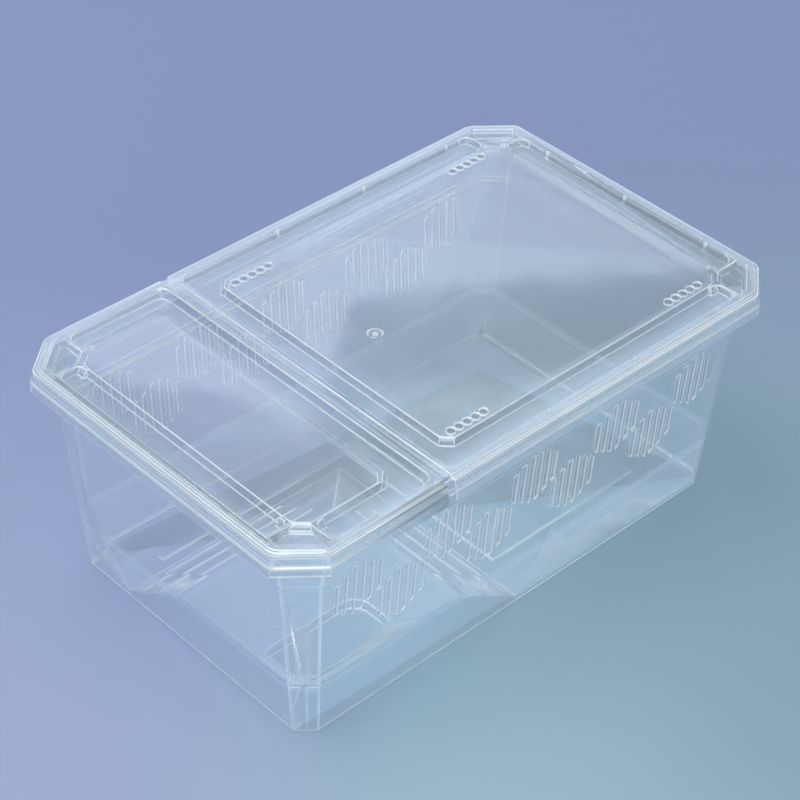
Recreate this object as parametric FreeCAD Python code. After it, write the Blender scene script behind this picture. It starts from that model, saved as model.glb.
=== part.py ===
import FreeCAD, Part
import math
import os

# A clear moulded breeding box for small reptiles: a tapered tub with a raised corner platform, and a
# lid whose end folds up as a feeding flap. Millimetres, +X along the box, +Z up, origin under the middle of the box.

os.makedirs("parts", exist_ok=True)

Vector = FreeCAD.Vector

# Overall size, at the lower edge of the lid's skirt
lid_length = 265.0
lid_width = 168.4
box_height = 106.0
corner_leg_x = 17.3
corner_leg_y = 14.4
corner_leg_loss_x = 0.62
corner_leg_loss_y = 0.49

# Plastic thickness, clearances, and how far a cut runs past the surface it opens
tub_wall = 1.2
floor_thickness = 1.4
lid_wall = 1.2
seat_gap = 0.3
run_gap = 0.3
overcut = 1.0

# Lid: heights down from its top, insets in from its skirt edge
skirt_drop = 10.6
skirt_band_drop = 6.0
ledge_drop = 1.4
moat_drop = 4.2
panel_drop = 0.7
skirt_band_taper = 0.15
skirt_inset = 0.9
ledge_inset = 1.2
crest_inset = 3.5
crest_draft = 0.2
crest_width = 3.1
moat_wall_taper = 0.9
moat_width = 10.1
panel_wall_taper = 0.8
edge_chamfer = 0.4
lid_corner_round = 6.0
panel_corner_leg = 4.0

# Fold between the large cover and the feeding flap
flap_length = 76.4
fold_gap = 4.0
web_thickness = 0.4
web_end_margin = 0.6
fold_rib_width = 2.1
fold_moat_width = 8.3
fold_corner_round = 4.5

# Lid details
vent_hole_diameter = 3.2
vent_hole_pitch = 4.25
vent_hole_count = 5
vent_row_from_edge = 4.2
vent_row_start = 6.1
vent_row_end = 12.6
corner_rib_width = 1.7
corner_rib_shift = -1.3
corner_rib_drop = 0.7
moat_end_round = 4.2
panel_wing_step = 0.2
panel_wing_spread = 1.6
panel_wing_reach = 4.6
nub_radius = 1.0
nub_drop = 0.6
nub_pitch_x = 48.0
nub_pitch_y = 45.0
nub_end_margin = 36.5
gate_pip_radius = 0.9
gate_pip_height = 0.5
gate_ring_radius = 3.0
gate_ring_depth = 0.3
gate_from_fold = 38.9

# Tub: insets in from the lid's skirt edge
base_inset_x = 17.7
base_inset_y = 15.4
base_chamfer = 0.8
flange_drop = 9.0
flange_thickness = 1.2
shoulder_band = 15.5
shoulder_inset = 10.1
shoulder_step = 1.4
shoulder_rise = 1.6
rim_inset = 7.3
flange_inset = 1.8
upstand_inset = 3.8
upstand_wall = 1.1
tub_corner_round = 2.0

# Raised corner platform, measured from the lid's near corner
platform_height = 26.0
platform_length = 96.3
platform_width = 86.2
ramp_angle = 34.0
ramp_brow_radius = 12.0
tread_height = 0.7
tread_width = 1.6
tread_pitch = 11.5
tread_count = 3
tread_first = 5.0
tread_side_width = 18.0
tread_side_shift = 4.0

# Food dish sunk in the platform
dish_margin = 4.2
dish_length = 47.5
dish_width = 23.0
dish_depth = 4.0
dish_draft = 0.8
dish_corner_leg = 6.5
dish_round = 8.0
dish_small_round = 3.0

# Raised middle of the low floor
floor_panel_margin = 22.5
floor_panel_rise = 0.9
floor_panel_from_ramp = 6.0

# Vent slots in the long walls, in hexagonal groups
hexagon_width = 23.2
hexagon_pitch = 46.2
hexagon_below_shoulder = 12.9
hexagon_row_drop = 16.0
slot_count = 6
slot_width = 1.7

half_length = lid_length / 2
half_width = lid_width / 2
skirt_z = box_height - skirt_drop
moat_z = box_height - moat_drop
panel_z = box_height - panel_drop
fold_x = flap_length - half_length
ledge_z = box_height - ledge_drop
flange_height = box_height - flange_drop
shoulder_height = flange_height - shoulder_band
hexagon_upper_height = shoulder_height - hexagon_below_shoulder
hexagon_lower_height = hexagon_upper_height - hexagon_row_drop
rim_top_z = ledge_z - lid_wall - seat_gap
far = 2 * lid_length


def rounded_wire(points, radii, z):
    """Closed outline at height z through the points, each corner rounded by its own radius."""
    flat = [Vector(x, y, z) for x, y in points]
    count = len(flat)
    corners = []
    for i in range(count):
        here = flat[i]
        if radii[i] <= 0:
            corners.append((here, None, here))
            continue
        back = (flat[i - 1] - here).normalize()
        ahead = (flat[(i + 1) % count] - here).normalize()
        half_angle = back.getAngle(ahead) / 2
        reach = radii[i] / math.tan(half_angle)
        bisector = (back + ahead).normalize()
        middle = here + bisector * (radii[i] / math.sin(half_angle) - radii[i])
        corners.append((here + back * reach, middle, here + ahead * reach))
    edges = []
    for i in range(count):
        start, middle, end = corners[i]
        if middle is not None:
            edges.append(Part.Arc(start, middle, end).toShape())
        edges.append(Part.LineSegment(end, corners[(i + 1) % count][0]).toShape())
    return Part.Wire(edges)


def stacked(wires):
    """Solid with straight sides through the outlines, in order."""
    solid = Part.makeLoft(wires, True, True)
    if solid.Volume < 0:
        solid.reverse()
    return solid


def block(low, high):
    size = Vector(*high) - Vector(*low)
    return Part.makeBox(size.x, size.y, size.z, Vector(*low))


def corner_legs(inset):
    """Chamfer of an outline's corner. It shortens as the outline moves in."""
    return corner_leg_x - corner_leg_loss_x * inset, corner_leg_y - corner_leg_loss_y * inset


def box_points(x_low, x_high, half_y, leg_low, leg_high):
    """Rectangle with chamfered corners; a leg of None leaves that end square."""
    points = []
    if leg_low is None:
        points += [(x_low, half_y), (x_low, -half_y)]
    else:
        across, along = leg_low
        points += [(x_low + across, half_y), (x_low, half_y - along)]
        points += [(x_low, along - half_y), (x_low + across, -half_y)]
    if leg_high is None:
        points += [(x_high, -half_y), (x_high, half_y)]
    else:
        across, along = leg_high
        points += [(x_high - across, -half_y), (x_high, along - half_y)]
        points += [(x_high, half_y - along), (x_high - across, half_y)]
    return points


def tub_outline(inset_x, inset_y, z, radius=tub_corner_round):
    legs = corner_legs((inset_x + inset_y) / 2)
    points = box_points(inset_x - half_length, half_length - inset_x, half_width - inset_y, legs, legs)
    return rounded_wire(points, [radius] * len(points), z)


def wall_inset(z, thickness):
    """Insets of the lower wall's surface at height z, along X and Y."""
    share = z / shoulder_height
    return (
        base_inset_x + (shoulder_inset - base_inset_x) * share + thickness,
        base_inset_y + (shoulder_inset - base_inset_y) * share + thickness,
    )


def tub_shell(thickness, low, high):
    """Outlines of the wall's outside, or of its inside when a thickness is given."""
    radius = max(tub_corner_round - thickness, edge_chamfer)
    band_inset = shoulder_inset - shoulder_step + thickness
    band_z = shoulder_height + shoulder_rise
    wires = []
    if thickness == 0:
        inset_x, inset_y = wall_inset(base_chamfer, 0)
        wires.append(tub_outline(inset_x + base_chamfer, inset_y + base_chamfer, low, radius))
        wires.append(tub_outline(inset_x, inset_y, low + base_chamfer, radius))
    else:
        wires.append(tub_outline(*wall_inset(low, thickness), low, radius))
    wires.append(tub_outline(*wall_inset(shoulder_height, thickness), shoulder_height, radius))
    wires.append(tub_outline(band_inset, band_inset, band_z, radius))
    wires.append(tub_outline(rim_inset + thickness, rim_inset + thickness, high, radius))
    return stacked(wires)


def slope_profile(edge, top, angle, brow, plane):
    """Body below a flat top that ends in a rounded brow and a straight slope, running along X or along Y."""
    tangent = brow * math.tan(angle / 2)
    bottom = -overcut
    foot = edge + (top - bottom) / math.tan(angle)

    def at(along, z):
        return Vector(along, -far, z) if plane == "x" else Vector(-far, along, z)

    brow_start = at(edge - tangent, top)
    brow_end = at(edge + tangent * math.cos(angle), top - tangent * math.sin(angle))
    brow_reach = brow / math.cos(angle / 2) - brow
    brow_middle = at(
        edge - brow_reach * math.sin(angle / 2),
        top - brow_reach * math.cos(angle / 2),
    )
    corners = [brow_end, at(foot, bottom), at(-far, bottom), at(-far, top), brow_start]
    edges = [Part.LineSegment(a, b).toShape() for a, b in zip(corners, corners[1:])]
    edges.append(Part.Arc(brow_start, brow_middle, brow_end).toShape())
    run = Vector(0, 2 * far, 0) if plane == "x" else Vector(2 * far, 0, 0)
    return Part.Face(Part.Wire(edges)).extrude(run)


def platform_body(sink):
    """Everything below the platform and its two ramps, sunk by a thickness to give the underside."""
    angle = math.radians(ramp_angle)
    shift = sink * math.tan(angle / 2)
    top = platform_height - sink
    brow = ramp_brow_radius - sink
    along_x = slope_profile(platform_length - half_length - shift, top, angle, brow, "x")
    along_y = slope_profile(platform_width - half_width - shift, top, angle, brow, "y")
    return along_x.common(along_y)


def tread(axis, distance, low, high):
    """Low bar across a ramp, its distance measured up the ramp's run from the foot."""
    angle = math.radians(ramp_angle)
    run = (platform_height - floor_thickness) / math.tan(angle)
    if axis == "x":
        foot = platform_length - half_length + run
    else:
        foot = platform_width - half_width + run
    along = foot - distance
    height = floor_thickness + distance * math.tan(angle)
    bar = Part.makeBox(tread_width, high - low, 2 * tread_height, Vector(-tread_width / 2, 0, -tread_height))
    bar.rotate(Vector(0, 0, 0), Vector(0, 1, 0), ramp_angle)
    if axis == "x":
        bar.translate(Vector(along, low, height))
        return bar
    bar.rotate(Vector(0, 0, 0), Vector(0, 0, 1), 90)
    bar.translate(Vector(high, along, height))
    return bar


def treads(cavity):
    """Climbing bars on both ramps, stepped uphill beside the tub's wall."""
    bars = []
    for number in range(tread_count):
        distance = tread_first + number * tread_pitch
        beside_y = wall_inset(platform_height, 0)[1] - half_width + tread_side_width
        beside_x = wall_inset(platform_height, 0)[0] - half_length + tread_side_width
        ridge = distance / platform_height
        end_y = platform_width - half_width - tread_side_shift * ridge
        end_x = platform_length - half_length - tread_side_shift * ridge
        bars.append(tread("x", distance, beside_y, end_y))
        bars.append(tread("x", distance + tread_side_shift, -half_width, beside_y))
        bars.append(tread("y", distance, beside_x, end_x))
        bars.append(tread("y", distance + tread_side_shift, -half_length, beside_x))
    return [bar.common(cavity) for bar in bars]


def dish(thickness, depth):
    """Space of the sunk dish; with a thickness, the outside of its bowl."""
    inset_x, inset_y = wall_inset(platform_height, tub_wall)
    x_low = inset_x - half_length + dish_margin
    y_low = inset_y - half_width + dish_margin
    radii = [dish_small_round, dish_small_round, dish_round, dish_round, dish_small_round]

    def section(grow, z):
        x0 = x_low - grow
        y0 = y_low - grow
        x1 = x_low + dish_length + grow
        y1 = y_low + dish_width + grow
        leg = dish_corner_leg
        points = [(x0, y0 + leg), (x0 + leg, y0), (x1, y0), (x1, y1), (x0, y1)]
        return rounded_wire(points, radii, z)

    return stacked([
        section(thickness - dish_draft, platform_height - depth),
        section(thickness, platform_height + (overcut if thickness == 0 else 0)),
    ])


def floor_panel(grow, low, high):
    """Middle of the low floor, inside the band along the walls and clear of the ramps' feet."""
    run = platform_height / math.tan(math.radians(ramp_angle))
    x_foot = platform_length - half_length + run + floor_panel_from_ramp - grow
    y_foot = platform_width - half_width + run + floor_panel_from_ramp / 2 - grow
    x_end = half_length - base_inset_x - floor_panel_margin + grow
    y_end = half_width - base_inset_y - floor_panel_margin + grow
    middle = block((-x_end, -y_end, low), (x_end, y_end, high))
    return middle.cut(block((-far, -far, low - far), (x_foot, y_foot, high + far)))


def hexagon_slots(middle_x, middle_z):
    """Vertical slots that together fill a hexagon standing on a corner, through both long walls."""
    half = hexagon_width / 2
    side = hexagon_width / math.sqrt(3)
    pitch = (hexagon_width - slot_width) / (slot_count - 1)

    def reach(x):
        return side - abs(x) / math.sqrt(3)

    slots = []
    for number in range(slot_count):
        x0 = number * pitch - half
        x1 = x0 + slot_width
        corners = [(x0, -reach(x0)), (x1, -reach(x1)), (x1, reach(x1)), (x0, reach(x0))]
        points = [Vector(middle_x + x, -half_width, middle_z + z) for x, z in corners]
        face = Part.Face(Part.makePolygon(points + points[:1]))
        slots.append(face.extrude(Vector(0, lid_width, 0)))
    return slots


def vent_slots():
    """Two staggered rows of hexagons, as many as the straight wall holds."""
    inset = wall_inset(hexagon_upper_height, 0)[0]
    straight = lid_length - 2 * (inset + corner_legs(inset)[0])
    columns = int((straight - hexagon_width) // hexagon_pitch) + 1
    first = -(columns - 1) * hexagon_pitch / 2
    slots = []
    for column in range(columns):
        slots += hexagon_slots(first + column * hexagon_pitch, hexagon_upper_height)
    for column in range(columns - 1):
        slots += hexagon_slots(first + (column + 0.5) * hexagon_pitch, hexagon_lower_height)
    return slots


def make_tub():
    outside = tub_shell(0, 0, flange_height)
    flange = stacked([
        tub_outline(flange_inset, flange_inset, flange_height),
        tub_outline(flange_inset, flange_inset, flange_height + flange_thickness),
    ])
    upstand = stacked([
        tub_outline(upstand_inset, upstand_inset, flange_height),
        tub_outline(upstand_inset, upstand_inset, rim_top_z - edge_chamfer),
        tub_outline(upstand_inset + edge_chamfer, upstand_inset + edge_chamfer, rim_top_z),
    ])
    body = outside.fuse([flange, upstand])

    mouth_inset = upstand_inset + upstand_wall
    inside = tub_shell(tub_wall, floor_thickness, flange_height + flange_thickness)
    mouth = stacked([
        tub_outline(mouth_inset, mouth_inset, flange_height + flange_thickness, edge_chamfer),
        tub_outline(mouth_inset, mouth_inset, box_height, edge_chamfer),
    ])
    platform = platform_body(0).cut(dish(0, dish_depth))
    room = inside.cut(platform).cut(floor_panel(0, 0, floor_thickness + floor_panel_rise))
    below = stacked([
        tub_outline(*wall_inset(0, tub_wall), -overcut, edge_chamfer),
        tub_outline(*wall_inset(0, tub_wall), 0, edge_chamfer),
        tub_outline(*wall_inset(platform_height, tub_wall), platform_height, edge_chamfer),
    ])
    below = below.common(platform_body(tub_wall)).cut(dish(tub_wall, dish_depth + tub_wall))
    push_up = floor_panel(-floor_panel_rise, -overcut, floor_panel_rise)
    tub = body.cut([room, mouth, below, push_up])
    tub = tub.fuse(treads(room))
    return tub.cut(vent_slots()).removeSplitter()


def lid_outline(part, inset, z, radius=lid_corner_round, fold_inset=0.0, fold_radius=0.0):
    """Outline of the flap or of the large cover, with its square end at the fold."""
    legs = corner_legs(inset)
    half_y = half_width - inset
    if part == "flap":
        points = box_points(inset - half_length, fold_x - fold_gap / 2 - fold_inset, half_y, legs, None)
        radii = [radius] * 4 + [fold_radius] * 2
    else:
        points = box_points(fold_x + fold_gap / 2 + fold_inset, half_length - inset, half_y, None, legs)
        radii = [fold_radius] * 2 + [radius] * 4
    return rounded_wire(points, radii, z)


def panel_points(part, shrink):
    """Corners of the raised panel, all chamfered."""
    inset = crest_inset + crest_width + moat_wall_taper + moat_width + shrink
    fold_inset = fold_gap / 2 + fold_rib_width + moat_wall_taper + fold_moat_width + shrink
    outer = corner_legs(inset)
    inner = (panel_corner_leg, panel_corner_leg)
    if part == "flap":
        return box_points(inset - half_length, fold_x - fold_inset, half_width - inset, outer, inner)
    return box_points(fold_x + fold_inset, half_length - inset, half_width - inset, inner, outer)


def panel_outline(part, shrink, z):
    points = panel_points(part, shrink)
    return rounded_wire(points, [edge_chamfer] * len(points), z)


def panel_wings(part):
    """The panel's outer corners, which stand out a little from its edges and slope down to the moat's floor."""
    wide = stacked([
        panel_outline(part, -panel_wing_spread, moat_z - lid_wall / 2),
        panel_outline(part, -panel_wing_spread, moat_z),
        panel_outline(part, -panel_wing_step, panel_z),
    ])
    side = -1 if part == "flap" else 1
    inset = crest_inset + crest_width + moat_wall_taper + moat_width + panel_wall_taper
    leg_x, leg_y = corner_legs(inset)
    x_start = half_length - inset - leg_x - panel_wing_reach
    y_start = half_width - inset - leg_y - panel_wing_reach
    wings = []
    for sign in (-1, 1):
        x_ends = sorted((side * x_start, side * half_length))
        y_ends = sorted((sign * y_start, sign * half_width))
        corner = block((x_ends[0], y_ends[0], moat_z - lid_wall), (x_ends[1], y_ends[1], box_height))
        wings.append(wide.common(corner))
    return wings


def corner_ribs(part):
    """Ribs across the moats beside the panel's outer corners, which give each moat a rounded end."""
    side = -1 if part == "flap" else 1
    crest = crest_inset + crest_width + moat_wall_taper
    panel = crest + moat_width + panel_wall_taper
    leg_x, leg_y = corner_legs(panel)
    crest_x = side * (half_length - crest)
    panel_x = side * (half_length - panel)
    crest_y = half_width - crest
    panel_y = half_width - panel
    low = moat_z - lid_wall / 2
    height = box_height - corner_rib_drop - low
    reach = corner_rib_width + moat_end_round + edge_chamfer
    ribs = []
    for sign in (-1, 1):
        beside_x = side * (half_length - panel - leg_x - corner_rib_shift)
        beside_y = sign * (half_width - panel - leg_y - corner_rib_shift)
        places = [
            # crest end, panel end, direction along the moat, direction across it
            ((crest_x, beside_y), (panel_x, beside_y), (0, -sign), (-side, 0)),
            ((beside_x, sign * crest_y), (beside_x, sign * panel_y), (-side, 0), (0, -sign)),
        ]
        for crest_end, panel_end, along, across in places:
            a = Vector(*along, 0)
            n = Vector(*across, 0)
            start = Vector(*crest_end, 0)
            end = Vector(*panel_end, 0)
            points = [
                start - n * crest_width,
                start - n * crest_width + a * reach,
                start + a * reach,
                start + a * corner_rib_width,
                end + a * corner_rib_width,
                end + a * reach,
                end + n * crest_width + a * reach,
                end + n * crest_width,
            ]
            radii = [0, 0, 0, moat_end_round, moat_end_round, 0, 0, 0]
            wire = rounded_wire([(point.x, point.y) for point in points], radii, low)
            ribs.append(Part.Face(wire).extrude(Vector(0, 0, height)))
    return ribs


def lid_sheet(part):
    """The flap or the large cover, without its holes and marks."""
    crest_in = crest_inset + crest_width
    body = stacked([
        lid_outline(part, 0, skirt_z),
        lid_outline(part, skirt_band_taper, box_height - skirt_band_drop),
        lid_outline(part, skirt_inset, box_height - skirt_band_drop + edge_chamfer),
        lid_outline(part, ledge_inset, ledge_z - edge_chamfer),
        lid_outline(part, ledge_inset + edge_chamfer, ledge_z),
    ])
    crest = stacked([
        lid_outline(part, crest_inset - crest_draft, ledge_z - lid_wall / 2),
        lid_outline(part, crest_inset, box_height),
    ])
    floor_in = crest_in + moat_wall_taper
    rib_floor = fold_rib_width + moat_wall_taper
    well = stacked([
        lid_outline(part, floor_in, moat_z, edge_chamfer, rib_floor, fold_corner_round),
        lid_outline(part, crest_in, box_height, edge_chamfer, fold_rib_width, fold_corner_round),
        lid_outline(part, crest_in, box_height + lid_wall, edge_chamfer, fold_rib_width, fold_corner_round),
    ])
    panel = stacked([
        panel_outline(part, 0, moat_z - lid_wall / 2),
        panel_outline(part, 0, moat_z),
        panel_outline(part, panel_wall_taper, panel_z),
    ])
    well = well.cut([panel] + panel_wings(part) + corner_ribs(part))

    # Underside: a channel over the tub's rim, and the hollow below the panel
    band_under = box_height - skirt_band_drop - lid_wall
    channel = stacked([
        lid_outline(part, lid_wall, skirt_z - overcut, edge_chamfer, -fold_gap),
        lid_outline(part, lid_wall, skirt_z, edge_chamfer, -fold_gap),
        lid_outline(part, skirt_band_taper + lid_wall, band_under, edge_chamfer, -fold_gap),
        lid_outline(part, skirt_inset + lid_wall, band_under + edge_chamfer, edge_chamfer, -fold_gap),
        lid_outline(part, skirt_inset + lid_wall, ledge_z - lid_wall, edge_chamfer, -fold_gap),
    ])
    moat_under = moat_z - lid_wall
    trough = stacked([
        lid_outline(part, floor_in - lid_wall, moat_under, edge_chamfer, rib_floor - lid_wall),
        lid_outline(part, crest_in - lid_wall, box_height, edge_chamfer, fold_rib_width - lid_wall),
    ])
    panel_hollow = stacked([
        panel_outline(part, lid_wall, moat_under - lid_wall),
        panel_outline(part, lid_wall, moat_under),
        panel_outline(part, panel_wall_taper + lid_wall, panel_z - lid_wall),
    ])
    rib_low = fold_x - fold_gap / 2 - fold_rib_width - moat_wall_taper
    rib_high = fold_x + fold_gap / 2 + fold_rib_width + moat_wall_taper
    half_y = half_width - crest_inset - lid_wall
    fold_hollow = block((rib_low, -half_y, moat_under), (rib_high, half_y, box_height - lid_wall))
    sheet = body.fuse(crest).cut([well, channel.cut(trough), panel_hollow, fold_hollow.cut(trough)])
    return sheet.removeSplitter()


def nubs():
    """Small bumps on the inner side of the cover's crest."""
    inset = crest_inset + crest_width
    places = []
    x = half_length - nub_end_margin
    while x > fold_x + fold_gap + nub_end_margin:
        places += [(x, half_width - inset), (x, inset - half_width)]
        x -= nub_pitch_x
    places += [(half_length - inset, number * nub_pitch_y) for number in (-1, 0, 1)]
    height = box_height - nub_drop - moat_z + lid_wall / 2
    return [Part.makeCylinder(nub_radius, height, Vector(x, y, moat_z - lid_wall / 2)) for x, y in places]


def make_cover():
    cover = lid_sheet("cover").fuse(nubs())
    points = panel_points("cover", panel_wall_taper)
    x_low = min(x for x, y in points)
    x_high = max(x for x, y in points)
    row_y = max(y for x, y in points) - vent_row_from_edge
    rows = [x_low + vent_row_start, x_high - vent_row_end - (vent_hole_count - 1) * vent_hole_pitch]
    holes = []
    for first in rows:
        for number in range(vent_hole_count):
            for y in (-row_y, row_y):
                centre = Vector(first + number * vent_hole_pitch, y, moat_z)
                holes.append(Part.makeCylinder(vent_hole_diameter / 2, box_height - moat_z, centre))
    gate_x = fold_x + gate_from_fold
    holes.append(Part.makeCylinder(gate_ring_radius, lid_wall, Vector(gate_x, 0, panel_z - gate_ring_depth)))
    pip_z = panel_z - gate_ring_depth
    pip = Part.makeCone(gate_pip_radius, gate_pip_radius / 2, gate_pip_height, Vector(gate_x, 0, pip_z))
    return cover.cut(holes).fuse(pip).removeSplitter()


def make_flap():
    return lid_sheet("flap")


def make_web():
    half_y = half_width - crest_inset - web_end_margin
    low = (fold_x - fold_gap / 2 + run_gap, -half_y, box_height - web_thickness)
    return block(low, (fold_x + fold_gap / 2, half_y, box_height))


pieces = {
    "tub": make_tub(),
    "lid_cover": make_cover(),
    "feeding_flap": make_flap(),
    "living_hinge": make_web(),
}
for name, shape in pieces.items():
    shape.exportStep("parts/" + name + ".step")
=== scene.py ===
import bpy
import bmesh
import math
from mathutils import Matrix, Vector
from mathutils.bvhtree import BVHTree


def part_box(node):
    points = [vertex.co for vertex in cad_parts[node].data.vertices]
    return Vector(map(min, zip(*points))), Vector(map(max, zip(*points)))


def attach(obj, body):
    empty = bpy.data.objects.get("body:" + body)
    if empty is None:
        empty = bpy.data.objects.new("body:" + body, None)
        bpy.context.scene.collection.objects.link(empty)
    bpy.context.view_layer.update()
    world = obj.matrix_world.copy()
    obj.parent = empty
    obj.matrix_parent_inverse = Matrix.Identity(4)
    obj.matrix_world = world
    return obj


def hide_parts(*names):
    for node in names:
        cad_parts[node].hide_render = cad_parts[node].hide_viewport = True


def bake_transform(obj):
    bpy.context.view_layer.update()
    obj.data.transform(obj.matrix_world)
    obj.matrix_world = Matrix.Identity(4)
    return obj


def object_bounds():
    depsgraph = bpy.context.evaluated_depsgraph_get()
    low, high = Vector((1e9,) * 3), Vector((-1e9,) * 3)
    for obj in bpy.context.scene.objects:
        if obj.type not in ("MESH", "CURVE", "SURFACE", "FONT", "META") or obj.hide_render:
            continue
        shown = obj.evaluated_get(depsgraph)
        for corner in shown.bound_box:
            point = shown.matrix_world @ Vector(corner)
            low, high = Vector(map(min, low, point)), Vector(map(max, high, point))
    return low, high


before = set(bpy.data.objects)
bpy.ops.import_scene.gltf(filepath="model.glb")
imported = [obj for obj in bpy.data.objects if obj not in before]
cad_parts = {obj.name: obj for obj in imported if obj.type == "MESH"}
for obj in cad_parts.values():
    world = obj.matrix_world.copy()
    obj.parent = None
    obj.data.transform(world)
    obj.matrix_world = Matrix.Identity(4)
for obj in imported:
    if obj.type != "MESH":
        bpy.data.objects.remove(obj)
cad_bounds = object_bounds()
scene = bpy.context.scene

# Camera at the photo's angle: metres, degrees, and a lens in millimetres on a 36 mm sensor
camera_place = Vector((-0.53955, -0.55009, 0.68911))
camera_azimuth = math.radians(-44.31)
camera_elevation = math.radians(39.12)
camera_roll = math.radians(1.78)
camera_lens = 110.85

# Moulded edges
edge_slip = 0.00012
edge_angle = math.radians(22)
flat_angle = math.radians(0.6)
round_angle = math.radians(2)
round_facet = 0.00035
narrow_face = 0.0013
inner_area = 100e-6

# Where the milkier rim begins, to each side of the middle, and how far it takes to build up
rim_start = (0.116, 0.0675)
rim_fade = 0.006
# Platform height: the foot band lies below it, and the painted highlight band runs along it
foot_top = 0.025

shadow_loss = 0.75
card_distance = 2.0


def make_camera():
    back = Vector((
        math.sin(camera_azimuth) * math.cos(camera_elevation),
        -math.cos(camera_azimuth) * math.cos(camera_elevation),
        math.sin(camera_elevation),
    ))
    right = Vector((math.cos(camera_azimuth), math.sin(camera_azimuth), 0))
    up = back.cross(right)
    side = math.cos(camera_roll) * right + math.sin(camera_roll) * up
    top = -math.sin(camera_roll) * right + math.cos(camera_roll) * up
    data = bpy.data.cameras.new("camera")
    data.sensor_width = 36.0
    data.lens = camera_lens
    data.clip_start = 0.01
    data.clip_end = 50.0
    camera = bpy.data.objects.new("camera", data)
    camera.matrix_world = Matrix((
        (side.x, top.x, back.x, camera_place.x),
        (side.y, top.y, back.y, camera_place.y),
        (side.z, top.z, back.z, camera_place.z),
        (0, 0, 0, 1),
    ))
    scene.collection.objects.link(camera)
    scene.camera = camera


def linear(red, green, blue):
    """A colour given as screen values of 0 to 255, as the shaders want it."""
    def one(value):
        value /= 255
        return value / 12.92 if value <= 0.04045 else ((value + 0.055) / 1.055) ** 2.4
    return one(red), one(green), one(blue), 1.0


class Graph:
    """Short ways to add and join shader nodes."""

    def __init__(self, name):
        self.material = bpy.data.materials.new(name)
        self.material.use_nodes = True
        self.tree = self.material.node_tree
        self.tree.nodes.clear()

    def add(self, kind, *by_place, **by_name):
        node = self.tree.nodes.new(kind)
        values = list(enumerate(by_place)) + [(key.replace("_", " "), value) for key, value in by_name.items()]
        for key, value in values:
            self.put(node.inputs[key], value)
        return node

    def put(self, socket, value):
        if isinstance(value, bpy.types.NodeSocket):
            self.tree.links.new(value, socket)
        else:
            socket.default_value = value

    def math(self, operation, a, b=0.0, clamp=False):
        node = self.add("ShaderNodeMath", a, b)
        node.operation = operation
        node.use_clamp = clamp
        return node.outputs[0]

    def ramp(self, value, low, high, to_low=0.0, to_high=1.0):
        node = self.add("ShaderNodeMapRange", Value=value, From_Min=low, From_Max=high, To_Min=to_low, To_Max=to_high)
        node.interpolation_type = "SMOOTHSTEP"
        return node.outputs[0]

    def blend(self, factor, a, b):
        node = self.tree.nodes.new("ShaderNodeMix")
        node.data_type = "RGBA"
        self.put(node.inputs["Factor"], factor)
        self.put(node.inputs["A"], a)
        self.put(node.inputs["B"], b)
        return node.outputs["Result"]

    def mix(self, factor, a, b):
        return self.add("ShaderNodeMixShader", factor, a, b).outputs[0]

    def fades_in_shadow(self, share):
        """Most of the light that clear plastic scatters still goes forward, so its shadow is faint."""
        shadow = self.add("ShaderNodeLightPath").outputs["Is Shadow Ray"]
        return self.math("MULTIPLY", share, self.math("SUBTRACT", 1.0, self.math("MULTIPLY", shadow, shadow_loss)))

    def finish(self, surface):
        self.add("ShaderNodeOutputMaterial", Surface=surface)
        return self.material


def clear_plastic(name, haze, rim_haze, foot_haze, shelf_painted_highlight, steep_haze, base_gloss, wave_height):
    """Clear moulded plastic: glossy and a little milky, milkier towards the rim and where it turns away, with a
    painted highlight band at platform height.
    """
    g = Graph(name)
    coords = g.add("ShaderNodeTexCoord").outputs["Object"]
    cloud = g.add("ShaderNodeTexNoise", Vector=coords, Scale=11.0, Detail=1.0).outputs["Fac"]
    waves = g.add("ShaderNodeTexNoise", Vector=coords, Scale=38.0, Detail=0.0).outputs["Fac"]
    bump = g.add("ShaderNodeBump", Strength=0.5, Distance=wave_height, Height=waves).outputs[0]
    parts = g.add("ShaderNodeSeparateXYZ", coords)
    across = g.math("SUBTRACT", g.math("ABSOLUTE", parts.outputs[0]), rim_start[0])
    along = g.math("SUBTRACT", g.math("ABSOLUTE", parts.outputs[1]), rim_start[1])
    rim = g.ramp(g.math("MAXIMUM", across, along), 0.0, rim_fade)

    turned = g.add("ShaderNodeLayerWeight", Blend=0.5).outputs["Facing"]
    milk_and_painted_light = g.math("MULTIPLY", cloud, 2 * haze)
    milk_and_painted_light = g.math("ADD", milk_and_painted_light, g.math("MULTIPLY", rim, rim_haze))
    milk_and_painted_light = g.math("ADD", milk_and_painted_light, g.math("MULTIPLY", g.ramp(parts.outputs[2], foot_top, foot_top - 0.002), foot_haze))
    # Painted highlight: a whiter band on the walls at platform height, where the wall's fillet would catch the light
    off_shelf = g.math("ABSOLUTE", g.math("SUBTRACT", parts.outputs[2], foot_top))
    milk_and_painted_light = g.math("ADD", milk_and_painted_light, g.math("MULTIPLY", g.ramp(off_shelf, 0.0020, 0.0010), shelf_painted_highlight))
    milk_and_painted_light = g.math("ADD", milk_and_painted_light, g.math("MULTIPLY", g.math("POWER", turned, 4.0), steep_haze), clamp=True)
    shine = g.math("ADD", g.math("MULTIPLY", g.math("POWER", turned, 5.0), 0.9), base_gloss, clamp=True)

    clear = g.add("ShaderNodeBsdfTransparent", Color=(0.985, 0.992, 0.994, 1)).outputs[0]
    lit = g.add("ShaderNodeBsdfDiffuse", Color=(0.78, 0.88, 1.0, 1)).outputs[0]
    through = g.add("ShaderNodeBsdfTranslucent", Color=(0.78, 0.88, 1.0, 1)).outputs[0]
    gloss = g.add("ShaderNodeBsdfGlossy", Color=(1, 1, 1, 1), Roughness=0.06, Normal=bump).outputs[0]
    body = g.mix(g.fades_in_shadow(milk_and_painted_light), clear, g.mix(0.5, lit, through))
    return g.finish(g.mix(g.fades_in_shadow(shine), body, gloss))


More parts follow.
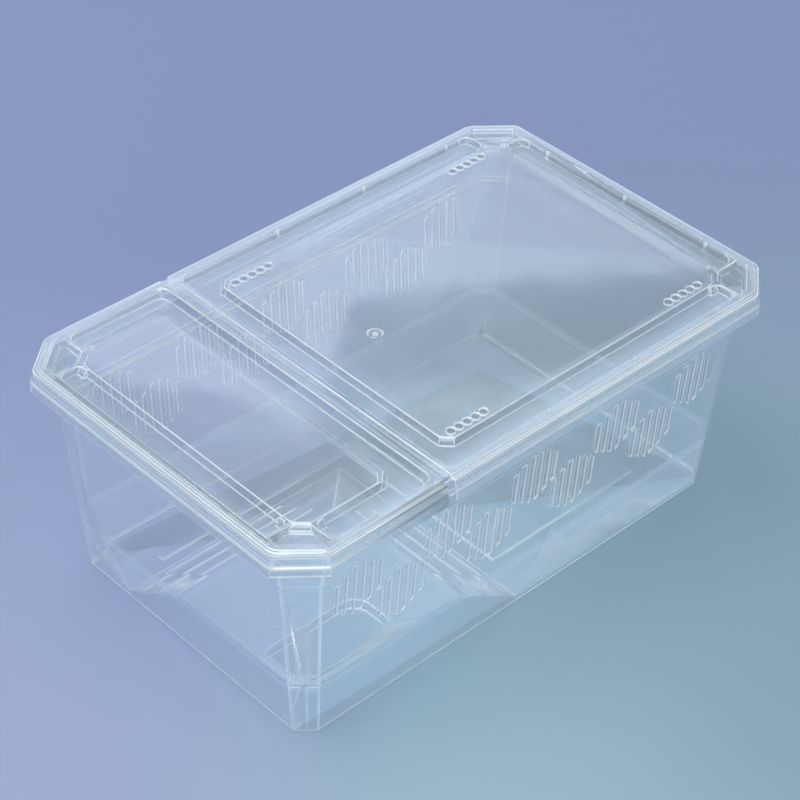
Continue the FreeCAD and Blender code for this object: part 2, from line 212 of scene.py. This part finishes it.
def plastic_edge(name, haze, shaded_side_haze, glow):
    """The small round along a moulded edge, milky white: partly the real scatter of a moulded edge, partly a painted
    highlight for the light the round catches, painted dimmer low down on the side away from the camera and at the +x
    end.
    """
    g = Graph(name)
    coords = g.add("ShaderNodeTexCoord").outputs["Object"]
    cloud = g.add("ShaderNodeTexNoise", Vector=coords, Scale=60.0, Detail=1.0).outputs["Fac"]
    parts = g.add("ShaderNodeSeparateXYZ", coords)
    # Painted shade: the edges low down on the side away from the camera, and at the +x end, get less of the painted
    # white
    ahead = g.ramp(g.math("ADD", parts.outputs[0], parts.outputs[1]), -0.02, 0.06)
    low = g.ramp(parts.outputs[2], 0.050, 0.040)
    painted_shade_side = g.math("MAXIMUM", g.math("MULTIPLY", ahead, low), g.ramp(parts.outputs[0], 0.095, 0.105))
    milk_and_painted_light = g.math("MULTIPLY", g.ramp(cloud, 0.3, 0.7, 0.70, 1.0), g.ramp(painted_shade_side, 0.0, 1.0, haze, shaded_side_haze))
    clear = g.add("ShaderNodeBsdfTransparent", Color=(0.97, 0.99, 0.99, 1)).outputs[0]
    lit = g.add("ShaderNodeBsdfDiffuse", Color=glow).outputs[0]
    through = g.add("ShaderNodeBsdfTranslucent", Color=glow).outputs[0]
    body = g.mix(g.fades_in_shadow(milk_and_painted_light), clear, g.mix(0.5, lit, through))
    gloss = g.add("ShaderNodeBsdfGlossy", Color=(1, 1, 1, 1), Roughness=0.25).outputs[0]
    turned = g.add("ShaderNodeLayerWeight", Blend=0.5).outputs["Facing"]
    shine = g.math("ADD", g.math("MULTIPLY", g.math("POWER", turned, 3.0), 0.5), 0.20, clamp=True)
    return g.finish(g.mix(g.fades_in_shadow(shine), body, gloss))


def turning(edge):
    return edge.calc_face_angle(0) if edge.is_manifold else 0


def is_inner(edge):
    """On the inner side of an upright wall, where an edge catches less light."""
    return any(
        face.calc_area() > inner_area
        and abs(face.normal.z) < 0.3
        and face.normal.x * face.calc_center_median().x + face.normal.y * face.calc_center_median().y < 0
        for face in edge.link_faces
    )


def dress(node, plastic, edge, narrow, edge_width):
    """The node's own shape with small rounds along its edges, which carry the edge material."""
    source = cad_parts[node]
    solid = bmesh.new()
    solid.from_mesh(source.data)
    surface = BVHTree.FromBMesh(solid)
    bmesh.ops.remove_doubles(solid, verts=solid.verts, dist=1e-6)
    bmesh.ops.dissolve_limit(solid, angle_limit=flat_angle, verts=solid.verts, edges=solid.edges)
    for face in solid.faces:
        length = max(e.calc_length() for e in face.edges)
        width = face.calc_area() / length
        turns = sorted(turning(e) for e in face.edges if e.calc_length() > length / 2)
        if len(turns) >= 2 and round_angle < turns[0] and turns[-1] < edge_angle and width < round_facet:
            face.material_index = 1
        elif len(turns) >= 2 and turns[0] > edge_angle and width < narrow_face:
            face.material_index = 2
    sharp = [e for e in solid.edges if turning(e) > edge_angle and not is_inner(e)]
    bmesh.ops.bevel(
        solid, geom=sharp, offset=edge_width, offset_type="OFFSET", segments=1, profile=0.5,
        affect="EDGES", clamp_overlap=False, material=1, miter_outer="SHARP", miter_inner="SHARP",
    )
    for vertex in solid.verts:
        place, _, _, distance = surface.find_nearest(vertex.co)
        if distance > edge_slip:
            vertex.co = place
    for face in solid.faces:
        face.smooth = True
    for line in solid.edges:
        line.smooth = turning(line) < edge_angle or any(face.material_index == 1 for face in line.link_faces)
    mesh = bpy.data.meshes.new(node + "_clear")
    solid.to_mesh(mesh)
    solid.free()
    mesh.materials.append(plastic)
    mesh.materials.append(edge)
    mesh.materials.append(narrow)
    piece = bpy.data.objects.new(node + "_clear", mesh)
    scene.collection.objects.link(piece)
    # Keeps the broad faces flat beside the small rounds
    normals = piece.modifiers.new("normals", "WEIGHTED_NORMAL")
    normals.keep_sharp = True
    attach(piece, node_body(node))
    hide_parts(node)


def node_body(node):
    return {"tub": "tub", "lid_cover": "lid", "feeding_flap": "flap"}[node]


def make_floor():
    g = Graph("floor")
    place = g.add("ShaderNodeNewGeometry").outputs["Position"]
    parts = g.add("ShaderNodeSeparateXYZ", place)
    across = g.math("SUBTRACT", parts.outputs[0], parts.outputs[1])
    ahead = g.math("ADD", parts.outputs[0], parts.outputs[1])
    soft = g.add("ShaderNodeTexNoise", Vector=place, Scale=3.0, Detail=1.5, Roughness=0.4).outputs["Fac"]
    wobble = g.math("MULTIPLY", g.math("SUBTRACT", soft, 0.5), 0.18)
    # Painted light: Lavender painted lighter towards the viewer where the light falls off, and a painted blue-green
    # glow of light through the clear box in front of the object and to its right
    lavender_painted_fade = g.blend(g.ramp(g.math("ADD", ahead, wobble), 0.30, -0.24), linear(133, 146, 181), linear(153, 165, 196))
    # Painted shade: the blue-green glow is painted darker to the right and further back
    painted_shade_run = g.math("ADD", g.math("ADD", across, g.math("MULTIPLY", ahead, 0.5)), wobble)
    green = g.blend(g.ramp(painted_shade_run, -0.10, 0.26), linear(155, 180, 194), linear(134, 158, 171))
    # Painted light: where the blue-green glow is painted on the floor
    right = g.ramp(g.math("ADD", across, wobble), -0.16, 0.05)
    painted_glow_mask = g.math("MULTIPLY", right, g.ramp(g.math("ADD", ahead, wobble), 0.42, 0.02))
    paper = g.add("ShaderNodeTexNoise", Vector=place, Scale=700.0, Detail=2.0).outputs["Fac"]
    bump = g.add("ShaderNodeBump", Strength=0.05, Distance=0.0002, Height=paper).outputs[0]
    card = g.add("ShaderNodeBsdfDiffuse", Color=g.blend(painted_glow_mask, lavender_painted_fade, green), Normal=bump).outputs[0]
    mesh = bpy.data.meshes.new("floor")
    built = bmesh.new()
    bmesh.ops.create_grid(built, x_segments=8, y_segments=8, size=3.0)
    built.to_mesh(mesh)
    built.free()
    mesh.materials.append(g.finish(card))
    floor = bpy.data.objects.new("floor", mesh)
    scene.collection.objects.link(floor)
    floor.location.z = cad_bounds[0].z - 0.0001


def area_light(name, place, aim, size, power, color):
    data = bpy.data.lights.new(name, "AREA")
    data.shape = "RECTANGLE"
    data.size, data.size_y = size
    data.energy = power
    data.color = color
    light = bpy.data.objects.new(name, data)
    light.location = place
    light.rotation_euler = (Vector(aim) - Vector(place)).to_track_quat("-Z", "Y").to_euler()
    scene.collection.objects.link(light)
    return light


def back_card(name, edge_height, slope, right, left, tall, power, color):
    """A light card standing behind the object. Its edge crosses the middle at edge_height, tall is negative downward."""
    away = Vector((math.sqrt(0.5), math.sqrt(0.5), 0))
    side = Vector((-math.sqrt(0.5), math.sqrt(0.5), 0))
    upward = Vector((0, 0, 1))
    along = side * math.cos(slope) + upward * math.sin(slope)
    across = upward * math.cos(slope) - side * math.sin(slope)
    place = away * card_distance + upward * edge_height + along * (left + right) / 2 + across * tall / 2
    light = area_light(name, place, place - away, (left - right, abs(tall)), power, color)
    light.rotation_euler = Matrix((along, across, away)).transposed().to_euler()
    light.visible_camera = False


def make_lights():
    area_light("softbox_top", (-0.5, 0.5, 2.2), (0, 0, 0), (1.4, 1.4), 30, (1.0, 1.0, 1.0))
    area_light("softbox_front", (-1.0, -1.4, 0.75), (0, 0, 0.05), (1.2, 0.8), 9.5, (0.95, 0.98, 1.0))
    back_card("card_right", 1.58, math.radians(10), -0.95, 0.17, -1.45, 7.4, (0.73, 0.85, 1.0))
    back_card("card_left", 1.88, math.radians(-16), 0.17, 0.95, -1.65, 4.5, (0.76, 0.84, 1.0))
    back_card("card_high", 1.75, math.radians(10), -0.95, 0.10, 1.0, 3.0, (0.70, 0.88, 1.0))
    world = bpy.data.worlds.new("studio")
    world.use_nodes = True
    background = world.node_tree.nodes["Background"]
    background.inputs["Color"].default_value = (0.92, 0.97, 1.0, 1)
    background.inputs["Strength"].default_value = 0.47
    scene.world = world


def hinge_web(plastic):
    """The thin web of the fold, thinner along its middle, between the flap and the cover."""
    low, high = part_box("living_hinge")
    margin = 0.0003
    start = low.x - margin
    end = high.x
    middle = (low.z + high.z) / 2
    half = (high.z - low.z) / 2
    count = 16
    built = bmesh.new()
    rows = []
    for number in range(count + 1):
        share = number / count
        x = start + (end - start) * share
        thin = half * (0.62 + 0.38 * abs(2 * share - 1) ** 2)
        rows.append([
            built.verts.new((x, low.y, middle + thin)),
            built.verts.new((x, high.y, middle + thin)),
            built.verts.new((x, high.y, middle - thin)),
            built.verts.new((x, low.y, middle - thin)),
        ])
    for here, there in zip(rows, rows[1:]):
        for side in range(4):
            after = (side + 1) % 4
            built.faces.new((here[side], here[after], there[after], there[side]))
    built.faces.new(rows[0][::-1])
    built.faces.new(rows[-1])
    bmesh.ops.recalc_face_normals(built, faces=built.faces)
    mesh = bpy.data.meshes.new("hinge_web")
    built.to_mesh(mesh)
    built.free()
    mesh.materials.append(plastic)
    web = bpy.data.objects.new("hinge_web", mesh)
    scene.collection.objects.link(web)
    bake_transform(web)
    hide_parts("living_hinge")


make_camera()
make_floor()
make_lights()
tub_plastic = clear_plastic("tub_plastic", 0.045, 0.02, 0.12, 0.25, 0.25, 0.045, 0.0004)
tub_edge = plastic_edge("tub_edge", 1.0, 0.25, (0.94, 0.98, 1.0, 1))
tub_narrow = plastic_edge("tub_narrow", 0.60, 0.35, (0.88, 0.94, 1.0, 1))
lid_plastic = clear_plastic("lid_plastic", 0.020, 0.21, 0.0, 0.0, 0.35, 0.066, 0.0001)
lid_edge = plastic_edge("lid_edge", 1.0, 1.0, (0.94, 0.98, 1.0, 1))
lid_narrow = plastic_edge("lid_narrow", 0.45, 0.45, (0.88, 0.92, 1.0, 1))
dress("tub", tub_plastic, tub_edge, tub_narrow, 0.00036)
dress("lid_cover", lid_plastic, lid_edge, lid_narrow, 0.00042)
dress("feeding_flap", lid_plastic, lid_edge, lid_narrow, 0.00042)
hinge_web(lid_plastic)

scene.cycles.max_bounces = 10
scene.cycles.diffuse_bounces = 2
scene.cycles.glossy_bounces = 3
scene.cycles.transmission_bounces = 2
scene.cycles.transparent_max_bounces = 40
scene.cycles.sample_clamp_indirect = 4.0
scene.view_settings.view_transform = "Standard"
